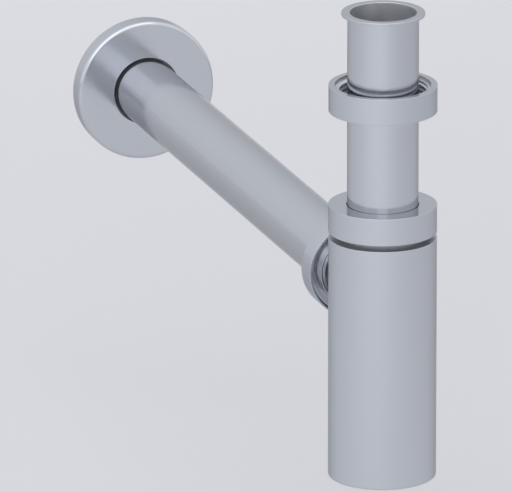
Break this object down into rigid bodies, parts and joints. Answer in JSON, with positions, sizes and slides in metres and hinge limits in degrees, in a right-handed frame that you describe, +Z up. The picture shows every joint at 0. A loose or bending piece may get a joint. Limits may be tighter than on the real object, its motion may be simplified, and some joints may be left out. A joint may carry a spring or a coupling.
{
  "type": "bottle trap",
  "caption": "Bottle trap for a wash basin: collared inlet tube with a loose union nut, clamp nut, round body, outlet nut, wall pipe and wall flange.",
  "frame": {"origin": "centre of the inlet collar's top face, where the trap hangs from the basin waste", "axes": "+Z up along the inlet tube, +Y along the outlet pipe towards the wall, X across"},
  "size_m": [0.0668, 0.3974, 0.2165],
  "materials": {
    "chromed_brass": "satin chrome plate on brass",
    "seal_rubber": "moulded rubber",
    "slip_ring_plastic": "moulded acetal"
  },
  "bodies": {
    "inlet_tube": {"inlet_tube": "chromed_brass"},
    "union_nut": {"inlet_union_nut": "chromed_brass"},
    "inlet_seal": {"inlet_cone_seal": "seal_rubber"},
    "trap_body": {"trap_body": "chromed_brass", "outlet_spigot": "chromed_brass", "outlet_cone_seal": "seal_rubber"},
    "clamp_ring": {"inlet_slip_ring": "slip_ring_plastic"},
    "clamp_nut": {"inlet_clamp_nut": "chromed_brass"},
    "outlet_ring": {"outlet_slip_ring": "slip_ring_plastic"},
    "outlet_nut": {"outlet_nut": "chromed_brass"},
    "wall_pipe": {"wall_pipe": "chromed_brass"},
    "wall_flange": {"wall_flange": "chromed_brass", "flange_grip_ring": "seal_rubber"},
    "plug_ring": {"plug_o_ring": "seal_rubber"},
    "cleaning_plug": {"cleaning_plug": "chromed_brass"}
  },
  "joints": [
    {"name": "union_nut_slide", "type": "slide", "parent": "inlet_tube", "child": "union_nut", "axis": [0, 0, 1], "range_m": [-0.029, 0.0418]},
    {"name": "body_height", "type": "slide", "parent": "inlet_tube", "child": "inlet_seal", "axis": [0, 0, 1], "range_m": [-0.08, 0.0067]},
    {"name": "body_swivel", "type": "hinge", "parent": "inlet_seal", "child": "trap_body", "pos_m": [0, 0, -0.1], "axis": [0, 0, 1], "continuous": true},
    {"name": "clamp_nut_lift", "type": "slide", "parent": "trap_body", "child": "clamp_ring", "axis": [0, 0, 1], "range_m": [0, 0.00693]},
    {"name": "clamp_nut_turn", "type": "hinge", "parent": "clamp_ring", "child": "clamp_nut", "pos_m": [0, 0, -0.0893], "axis": [0, 0, 1], "range_deg": [0, 1080]},
    {"name": "outlet_nut_travel", "type": "slide", "parent": "trap_body", "child": "outlet_ring", "axis": [0, 1, 0], "range_m": [0, 0.00462]},
    {"name": "outlet_nut_turn", "type": "hinge", "parent": "outlet_ring", "child": "outlet_nut", "pos_m": [0, 0.0472, -0.1312], "axis": [0, 1, 0], "range_deg": [0, 720]},
    {"name": "wall_pipe_slide", "type": "slide", "parent": "trap_body", "child": "wall_pipe", "axis": [0, 1, 0], "range_m": [-0.0068, 0.01]},
    {"name": "wall_flange_slide", "type": "slide", "parent": "wall_pipe", "child": "wall_flange", "axis": [0, 1, 0], "range_m": [-0.271, 0.036]},
    {"name": "plug_travel", "type": "slide", "parent": "trap_body", "child": "plug_ring", "axis": [0, 0, -1], "range_m": [0, 0.006]},
    {"name": "plug_turn", "type": "hinge", "parent": "plug_ring", "child": "cleaning_plug", "pos_m": [0, 0, -0.2165], "axis": [0, 0, -1], "range_deg": [0, 1440]}
  ],
  "couplings": [
    {"joint": "clamp_nut_lift", "follows": "clamp_nut_turn", "m_per_rad": 0.00036749},
    {"joint": "outlet_nut_travel", "follows": "outlet_nut_turn", "m_per_rad": 0.00036749},
    {"joint": "plug_travel", "follows": "plug_turn", "m_per_rad": 0.00023873}
  ]
}
